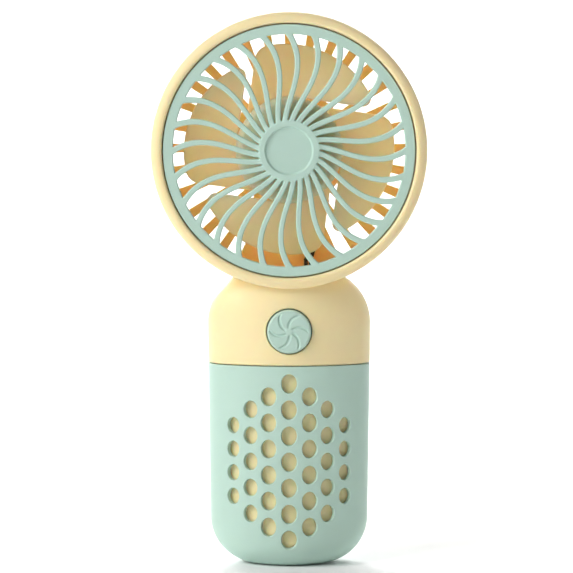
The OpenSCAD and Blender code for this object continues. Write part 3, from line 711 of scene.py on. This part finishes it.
def join_head(body):
    """Joins the drum of the head to the handle, hollows it and adds the motor's seat."""
    r, f, b = HEAD_R, HEAD_FRONT, HEAD_BACK
    drum = [(0.5, f), (r - 12, f), *arc((r - FRONT_EDGE, f + FRONT_EDGE), FRONT_EDGE, -90, 0, 9)]
    drum += [(r, y) for y in np.linspace(f + 4, b - 6, 14)]
    drum += [*arc((r - BACK_EDGE, b - BACK_EDGE), BACK_EDGE, 0, 90, 12), (r - 12, b), (0.5, b)]
    carve(body, turned_solid("drum", drum, 256), "UNION")
    bore, inner = GRILLE_R + 0.25, r - WALL
    corner = BACK_EDGE - WALL
    space = [(0.5, b - WALL), (inner - corner, b - WALL)]
    space += [*arc((inner - corner, b - WALL - corner), corner, 90, 0, 6)]
    space += [(inner, LEDGE_BACK), (LEDGE_R, LEDGE_BACK), (LEDGE_R, LEDGE_FRONT), (bore, LEDGE_FRONT)]
    space += [(bore, f + LIP), *arc((bore + LIP, f + LIP), LIP, 180, 270, 6)]
    space += [(bore + LIP, f - 2), (0.5, f - 2)]
    carve(body, turned_solid("air_space", space, 256), "DIFFERENCE")
    seat_back = b - WALL + 0.5
    seat = [(SEAT_IN, SEAT_FRONT), (SEAT_OUT, SEAT_FRONT), (SEAT_OUT, seat_back), (SEAT_IN, seat_back)]
    carve(body, turned_solid("seat", seat, 96, ring=True), "UNION")


def half_space(low, high):
    """A block over everything between two values of y."""
    block = Shape()
    foot = ((-FAR, low), (FAR, low), (FAR, high), (-FAR, high))
    block.add([(x, y, z) for z in (-20.0, 200.0) for x, y in foot])
    block.faces = [[0, 1, 2, 3], [7, 6, 5, 4], [0, 4, 5, 1], [1, 5, 6, 2], [2, 6, 7, 3], [3, 7, 4, 0]]
    return outward(block.made("half_space"))


def build_shells():
    """The front and rear shells: one hollow body with its openings, parted at y = 0."""
    body = handle_solid()
    join_head(body)
    low_z, high_z = screws_low[2] + SCREW_HEAD_R, screws_high[2] - SCREW_HEAD_R
    high_x, low_x = screws_high[0] - SCREW_HEAD_R, 8.0
    screws = [(-high_x, high_z, 7.8), (high_x, high_z, 7.8), (-low_x, low_z, 9.8), (low_x, low_z, 9.8)]
    for x, z, deep in screws:
        carve(body, bar("boss", x, z, BOSS_R, -deep, deep), "UNION")
    windows = Shape()
    for i in range(REAR_WINDOWS):
        rings = rear_window(i)
        closed_loft(windows, rings, (rings[0].mean(0), rings[-1].mean(0)))
    carve(body, outward(windows.made("windows")), "DIFFERENCE")
    carve(body, well("button_well", round_outline(0, BUTTON_Z, 7.0), rounded_well(0.3, 5.0)), "DIFFERENCE")
    for x, z, deep in screws:
        carve(body, bar("pilot", x, z, PILOT_R, -4.9, 20), "DIFFERENCE")
        if z > DOME_LOW:
            opening = round_outline(x, z, SCREW_HEAD_R + 0.3, 48)
            carve(body, well("counterbore", opening, rounded_well(0.25, 5.0), False), "DIFFERENCE")
    usb_x, usb_z = (usb_low[0] + usb_high[0]) / 2, (usb_low[2] + usb_high[2]) / 2
    opening = slot_outline(usb_x, usb_z, usb_high[0] - usb_low[0] + 0.8, usb_high[2] - usb_low[2] + 0.8)
    carve(body, well("usb_well", opening, rounded_well(0.3, 5.0), False), "DIFFERENCE")
    led_x, led_z = (led_low[0] + led_high[0]) / 2, (led_low[2] + led_high[2]) / 2
    opening = round_outline(led_x, led_z, 1.1, 32)
    carve(body, well("led_well", opening, rounded_well(0.2, 5.0), False), "DIFFERENCE")
    halves = []
    for name, low, high in (("front_cream_shell", -FAR, -SPLIT), ("rear_cream_shell", SPLIT, FAR)):
        half = body.copy()
        half.data = body.data.copy()
        half.name = name
        bpy.context.scene.collection.objects.link(half)
        carve(half, half_space(low, high), "INTERSECT")
        halves.append(smoothed(half))
    bpy.data.objects.remove(body)
    return halves


# ---- Impeller ----

BLADES = 4
BLADE_START = 26.5          # angle of the first blade, in degrees
BLADE_TIP = 32.5            # reach of the blades from the axis
BLADE_T = 1.1
CUP_R = 16.2
CUP_WALL = 1.2
TWIST = 5.8                 # how far a blade goes back for each radian round the axis


def polar(r, deg):
    """A point in a plane at a distance and angle from the origin."""
    return np.array([r * math.cos(math.radians(deg)), r * math.sin(math.radians(deg))])


def eased(loop, reach):
    """The loop with a curve in place of each corner that turns by more than 15 degrees."""
    points = []
    for before, corner, after in zip(np.roll(loop, 1, 0), loop, np.roll(loop, -1, 0)):
        one, other = before - corner, after - corner
        cosine = -(one @ other) / np.linalg.norm(one) / np.linalg.norm(other)
        if cosine > math.cos(math.radians(15)):
            points.append(corner)
            continue
        start = corner + one * min(0.5, reach / np.linalg.norm(one))
        end = corner + other * min(0.5, reach / np.linalg.norm(other))
        for t in np.linspace(0, 1, 8):
            points.append((1 - t) ** 2 * start + 2 * t * (1 - t) * corner + t * t * end)
    return np.array(points)


def blade_outline():
    """One blade seen from the front. Its two straight edges are at right angles, and its rim is an arc about
    a point a little way off the axis."""
    lead, trail = 55.5, 145.5               # the ways, in degrees, that its leading and trailing edges face
    lead_r, trail_r = 2.5, 5.0              # rounding of its two outer corners
    lead_at, trail_at = 16.2, 14.4          # distances of the two straight edges from the axis
    rim_c, rim = polar(3.5, 80), BLADE_TIP - 3.5

    def corner(r, line, foot):
        """Centre of a corner's rounding, at a distance along a direction and just inside the rim."""
        turn = math.degrees(math.acos((line - rim_c @ polar(1, foot)) / (rim - r)))
        return rim_c + polar(rim - r, foot - turn)

    def sweep(c, r, a0, a1, n):
        """Points on an arc about c."""
        return [c + polar(r, a0 + (a1 - a0) * i / n) for i in range(n + 1)]
    end_c, start_c = corner(trail_r, trail_at - trail_r, trail), corner(lead_r, lead_at + lead_r, lead)
    start_rim = math.degrees(math.atan2(*(start_c - rim_c)[::-1]))
    end_rim = math.degrees(math.atan2(*(end_c - rim_c)[::-1]))
    points = sweep(start_c, lead_r, lead - 180, start_rim, 10)
    points += sweep(rim_c, rim, start_rim + 1.5, end_rim - 1.5, 50)
    points += sweep(end_c, trail_r, end_rim, trail, 14)
    far, near = points[-1], points[0]
    foot, start = far @ polar(1, trail) * polar(1, trail) + polar(3, lead), polar(CUP_R, lead)
    points += [far + (foot - far) * t for t in (0.5, 1)]
    points += [polar(CUP_R - 6, a) for a in (130, 93, lead)]
    points += [start + (near - start) * t for t in np.linspace(0, 1, 8)[:-1]]
    return eased(np.array(points), 2.0)


def build_cup():
    """The hub cup with the boss for the shaft."""
    front, back, inner = fan_low[1], fan_high[1], CUP_R - CUP_WALL
    out_r, in_r, lip = 2.4, 1.4, 0.3        # rounding of the front, outside and inside, and of the open back
    boss_r, shaft_r, boss_back = 3.0, 1.0, -2.5
    floor = front + CUP_WALL
    profile = [(0.5, front), (CUP_R - 6, front), *arc((CUP_R - out_r, front + out_r), out_r, -90, 0, 8)]
    profile += [(CUP_R, back - lip), *arc((CUP_R - lip, back - lip), lip, 0, 90, 2), (inner, back)]
    profile += [(inner, floor + in_r), *arc((inner - in_r, floor + in_r), in_r, 0, -90, 4)]
    profile += [(boss_r, floor), (boss_r, boss_back), (shaft_r, boss_back)]
    profile += [(shaft_r, floor + 0.05), (0.5, floor + 0.05)]
    return turned_solid("fan_rotor", profile, 160)


def build_impeller():
    """The cup and its four twisted blades in one solid."""
    fan = build_cup()
    outline = blade_outline()
    for i in range(BLADES):
        t = math.radians(BLADE_START + i * 360 / BLADES)
        turn = np.array([[math.cos(t), math.sin(t)], [-math.sin(t), math.cos(t)]])

        def place(at, high):
            """Points of the blade, which goes back evenly with the angle round the axis."""
            at = np.asarray(at, float)
            r = np.hypot(at[:, 0], at[:, 1])
            a = np.arctan2(at[:, 1], at[:, 0])
            y = -1.9 + TWIST * (a - math.radians(52))
            flat = at @ turn
            front = np.stack([flat[:, 0], y, flat[:, 1]], 1)
            slope = TWIST / np.maximum(r, 1)
            back = np.stack([-np.sin(a + t) * slope, -np.ones(len(r)), np.cos(a + t) * slope], 1)
            back = back / np.linalg.norm(back, axis=1)[:, None]
            return front + np.array([HEAD_X, 0, HEAD_Z]) + back * np.asarray(high)[:, None]
        xs, ys = np.meshgrid(np.arange(-34, 34, 1.1), np.arange(-10, 34, 1.1))
        seeds = np.stack([xs.ravel(), ys.ravel()], 1)
        shape = Shape()
        edge = edge_profile(BLADE_T, 0.45, 0.45, 3)
        skin(shape, place, outline, [], seeds, 0.5, edge, edge, BLADE_T)
        blade = outward(shape.made("blade", own_normals=True))
        foot_r = CUP_R - CUP_WALL / 2       # the blade's foot ends inside the cup's wall
        core = turned_solid("core", [(0.5, -20), (foot_r, -20), (foot_r, 20), (0.5, 20)], 160)
        carve(blade, core, "DIFFERENCE")
        carve(fan, blade, "UNION")
    return smoothed(fan, 35)


# ---- Button ----

FLANGE = 1.1                # the cap's flange inside the dome is this much wider than its face
CAP_EDGE = 0.75             # rounding of the cap's face
CROWN = 0.10                # how far the face falls back towards its edge
GROOVES = 6
GROOVE_DEEP, GROOVE_HALF = 0.42, 0.62


def groove_depth(r, angle, radius):
    """Depth of the curved grooves in the cap's face at radius r."""
    pitch = 360 / GROOVES
    turn = 102 - 52 * (r / radius) ** 1.4
    off = (np.degrees(angle) - turn + pitch / 2) % pitch - pitch / 2
    across = np.radians(off) * r
    side = np.clip(1 - (across / GROOVE_HALF) ** 2, 0, 1) ** 1.5
    return GROOVE_DEEP * side * step_up(r, 0.7, 1.8) * (1 - step_up(r, radius - 1.2, radius - 0.35))


def build_button():
    """The push button's cap, with its flange, its hollow back and the stem on the switch."""
    radius, count = (cap_high[0] - cap_low[0]) / 2 - FLANGE, 288
    angle = np.arange(count) * 2 * math.pi / count
    front, back = BUTTON_FRONT, cap_high[1]
    rows = [(r, front + CROWN * (r / radius) ** 2) for r in np.linspace(0.25, radius - CAP_EDGE, 30)]
    for a in np.radians(np.linspace(0, 90, 11)[1:]):
        out, deep = CAP_EDGE * math.sin(a), CAP_EDGE * (1 - math.cos(a))
        rows.append((radius - CAP_EDGE + out, front + 0.08 + deep))
    flange_front, flange_back, ceiling = -10.8, -9.8, -12.6
    rows += [(radius, -11.4), (radius, flange_front), (radius + FLANGE - 0.15, flange_front)]
    rows += [(radius + FLANGE, flange_front + 0.15), (radius + FLANGE, flange_back - 0.1)]
    rows += [(radius + FLANGE - 0.1, flange_back), (radius - 1.4, flange_back), (radius - 1.4, ceiling)]
    rows += [(2.8, ceiling), (1.6, ceiling + 0.2), (1.6, back), (0.3, back)]
    points = []
    for r, y in rows:
        on_face = r < radius - 0.2 and y < -13
        depth = groove_depth(r, angle, radius) if on_face else np.zeros(count)
        points.append(np.stack([r * np.cos(angle), y + depth, BUTTON_Z + r * np.sin(angle)], 1))
    ends = ((0, rows[0][1], BUTTON_Z), (0, back, BUTTON_Z))
    return outward(closed_loft(Shape(), points, ends).made("push_button", sharp_deg=40))


# ---- Materials ----

GLOSS_SPREAD = 0.04         # unevenness of every surface's roughness
GRAIN_DEPTH = 0.05 * MM


def srgb(r, g, b):
    """Scene-linear colour of an sRGB colour given from 0 to 255."""
    out = []
    for v in (r, g, b):
        v = v / 255
        out.append(v / 12.92 if v <= 0.04045 else ((v + 0.055) / 1.055) ** 2.4)
    return (*out, 1.0)


def surface(name, colour, other, rough, patch=90.0, grain=4200.0, bump=0.06, metal=0.0, clear=0.0, mirror=0.5,
            glow=0.0, glow_far=0.0015, glow_hue=(1.0, 0.55, 0.2)):
    """A moulded or metal surface: broad soft changes between two colours, uneven gloss and a fine grain.
    patch and grain are noise scales per metre, clear is a coat of varnish, and glow is light passing through."""
    made = bpy.data.materials.new(name)
    made.use_nodes = True
    tree = made.node_tree
    shader = tree.nodes["Principled BSDF"]
    where = tree.nodes.new("ShaderNodeTexCoord")

    def noise(scale, detail):
        """A noise that is fixed to the piece."""
        node = tree.nodes.new("ShaderNodeTexNoise")
        node.inputs["Scale"].default_value = scale
        node.inputs["Detail"].default_value = detail
        tree.links.new(where.outputs["Object"], node.inputs["Vector"])
        return node
    broad = noise(patch, 3.0)
    mix = tree.nodes.new("ShaderNodeMix")
    mix.data_type = "RGBA"
    mix.inputs["A"].default_value = colour
    mix.inputs["B"].default_value = other
    tree.links.new(broad.outputs["Fac"], mix.inputs["Factor"])
    tree.links.new(mix.outputs["Result"], shader.inputs["Base Color"])
    gloss = noise(patch * 7, 4.0)
    level = tree.nodes.new("ShaderNodeMapRange")
    level.inputs["To Min"].default_value = rough - GLOSS_SPREAD
    level.inputs["To Max"].default_value = rough + GLOSS_SPREAD
    tree.links.new(gloss.outputs["Fac"], level.inputs["Value"])
    tree.links.new(level.outputs["Result"], shader.inputs["Roughness"])
    fine = noise(grain, 2.0)
    relief = tree.nodes.new("ShaderNodeBump")
    relief.inputs["Strength"].default_value = bump
    relief.inputs["Distance"].default_value = GRAIN_DEPTH
    tree.links.new(fine.outputs["Fac"], relief.inputs["Height"])
    tree.links.new(relief.outputs["Normal"], shader.inputs["Normal"])
    uniform = {
        "Metallic": metal, "Coat Weight": clear, "Specular IOR Level": mirror,
        "Subsurface Weight": glow, "Subsurface Radius": glow_hue, "Subsurface Scale": glow_far,
    }
    for socket, value in uniform.items():
        shader.inputs[socket].default_value = value
    return made


MATERIALS = {
    "cream_plastic": surface(
        "cream_abs", srgb(248, 229, 180), srgb(246, 226, 174), 0.42, mirror=0.35, glow=0.35,
    ),
    "mint_plastic": surface(
        "mint_abs", srgb(188, 216, 203), srgb(184, 213, 199), 0.42, mirror=0.35, glow=0.06,
    ),
    "blade_plastic": surface(
        "blade_pp", srgb(255, 231, 200), srgb(252, 228, 196), 0.34, mirror=0.35,
        glow=0.95, glow_far=0.004, glow_hue=(1.0, 0.62, 0.42),
    ),
    "black_plastic": surface(
        "black_nylon", srgb(30, 30, 32), srgb(38, 38, 40), 0.5, patch=400,
    ),
    "board": surface(
        "green_mask", srgb(28, 92, 56), srgb(22, 80, 48), 0.35, patch=600, bump=0.03, clear=0.3,
    ),
    "components": surface(
        "epoxy_parts", srgb(44, 45, 48), srgb(54, 55, 58), 0.55, patch=700,
    ),
    "lens": surface(
        "clear_lens", srgb(232, 236, 238), srgb(224, 230, 234), 0.18, patch=500, bump=0.02, glow=0.3,
    ),
    "steel": surface(
        "nickel_steel", srgb(196, 198, 200), srgb(182, 184, 187), 0.3, patch=500, bump=0.05, metal=1.0,
    ),
    "magnet": surface(
        "ferrite", srgb(70, 70, 73), srgb(58, 58, 61), 0.6, patch=900, bump=0.15,
    ),
    "brass": surface(
        "sintered_bronze", srgb(196, 160, 92), srgb(178, 142, 78), 0.38, patch=900, bump=0.12, metal=1.0,
    ),
    "copper": surface(
        "enamelled_copper", srgb(190, 104, 58), srgb(166, 84, 44), 0.3, patch=1500, bump=0.1, metal=1.0,
    ),
    "cell": surface(
        "pouch_film", srgb(186, 192, 200), srgb(170, 177, 186), 0.34, patch=180, bump=0.1, metal=0.7,
    ),
    "foam": surface(
        "foam_pad", srgb(66, 68, 71), srgb(52, 54, 57), 0.9, patch=1200, bump=0.5,
    ),
    "red_wire": surface(
        "red_pvc", srgb(186, 38, 32), srgb(168, 30, 26), 0.4, patch=900,
    ),
    "black_wire": surface(
        "black_pvc", srgb(28, 28, 30), srgb(36, 36, 38), 0.4, patch=900,
    ),
}


def dress(piece, slot):
    """Gives a piece its slot and that slot's material."""
    piece.data.materials.clear()
    piece.data.materials.append(MATERIALS[slot])


slots = {part["node"]: part["material_slot"] for part in frame["record"]["subparts"]}
rear_shell_painted_shade_cream = surface(       # the rear shell's cream is painted deeper and more orange than the front shell's, as painted shade for the saturated tint its vanes show in shadow inside the head. It also lets more light through
    "cream_abs_rear_painted_shade", srgb(247, 224, 161), srgb(245, 220, 155), 0.42, mirror=0.35, glow=0.6, glow_far=0.003,
)
front_shell, rear_shell = build_shells()
made = [
    (front_shell, "housing", "front_shell"),
    (rear_shell, "housing", "rear_shell"),
    (build_grille(), "housing", "front_grille"),
    (build_sleeve(), "housing", "grip_sleeve"),
    (build_impeller(), "rotor", "impeller"),
    (build_button(), "button", "button_cap"),
]
for piece, body, node in made:
    dress(piece, slots[node])
    # the rear shell swaps its slot's cream for the copy with painted shade
    if piece is rear_shell:
        piece.data.materials[0] = rear_shell_painted_shade_cream
    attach(piece, body)
    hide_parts(node)
for name, node in frame["nodes"].items():
    if not node.hide_render:
        dress(node, slots[name])


# ---- Stage, light and camera ----

FLOOR_HALF = 5.0            # metres, like all the rest of this section
CURVE_Y, CURVE_R = 1.0, 0.6
WALL_TOP = 3.0


def stage():
    """A pale floor that curves up into a backdrop."""
    profile = [(-FLOOR_HALF, 0.0), (CURVE_Y, 0.0)]
    for a in np.linspace(0.1, math.pi / 2, 16):
        profile.append((CURVE_Y + CURVE_R * math.sin(a), CURVE_R - CURVE_R * math.cos(a)))
    profile.append((CURVE_Y + CURVE_R, WALL_TOP))
    points, faces = [], []
    for y, z in profile:
        points += [(-FLOOR_HALF, y, z), (FLOOR_HALF, y, z)]
    for i in range(len(profile) - 1):
        faces.append([2 * i, 2 * i + 1, 2 * i + 3, 2 * i + 2])
    mesh = bpy.data.meshes.new("backdrop")
    mesh.from_pydata(points, [], faces)
    mesh.shade_smooth()
    drop = bpy.data.objects.new("backdrop", mesh)
    bpy.context.scene.collection.objects.link(drop)
    paper = surface("paper", srgb(250, 250, 250), srgb(248, 248, 248), 0.8, patch=3, grain=900, bump=0.02)
    mesh.materials.append(paper)


def area_light(name, place, aim, size, watts):
    """A white rectangular lamp that points at a place."""
    lamp = bpy.data.lights.new(name, "AREA")
    lamp.shape = "RECTANGLE"
    lamp.size, lamp.size_y = size
    lamp.energy = watts
    made = bpy.data.objects.new(name, lamp)
    bpy.context.scene.collection.objects.link(made)
    made.location = place
    made.rotation_mode = "QUATERNION"
    made.rotation_quaternion = (Vector(aim) - Vector(place)).to_track_quat("-Z", "Y")


stage()
fan_middle, head_middle = (0.0, 0.0, 0.085), (0.0, 0.0, 0.125)
area_light("key", (-0.97, -0.72, 0.82), fan_middle, (0.8, 0.8), 15.4)
area_light("side", (1.2, 0.2, 0.35), fan_middle, (0.6, 1.0), 2.4)
area_light("back", (-0.35, 0.9, 0.5), head_middle, (0.6, 0.6), 7.0)
area_light("backdrop_light", (0.0, 0.6, 1.6), (0.0, 2.5, 0.85), (2.0, 0.6), 52.0)

world = bpy.data.worlds.new("studio")
bpy.context.scene.world = world
world.use_nodes = True
sky = world.node_tree.nodes["Background"]
sky.inputs["Color"].default_value = (1, 1, 1, 1)
sky.inputs["Strength"].default_value = 0.2

camera = bpy.data.cameras.new("camera")
camera.sensor_width = 36
camera.lens = 183.6
camera.dof.use_dof = False
view = bpy.data.objects.new("camera", camera)
bpy.context.scene.collection.objects.link(view)
rise = math.radians(4.2)    # the camera looks down a little, from 0.9 m
back = Vector((0, -math.cos(rise), math.sin(rise)))
view.location = Vector((-0.8 * MM, 0, 85.5 * MM)) + 0.9 * back
view.rotation_mode = "QUATERNION"
view.rotation_quaternion = (-back).to_track_quat("-Z", "Y")
bpy.context.scene.camera = view
bpy.context.scene.view_settings.view_transform = "Standard"
bpy.context.scene.view_settings.look = "None"
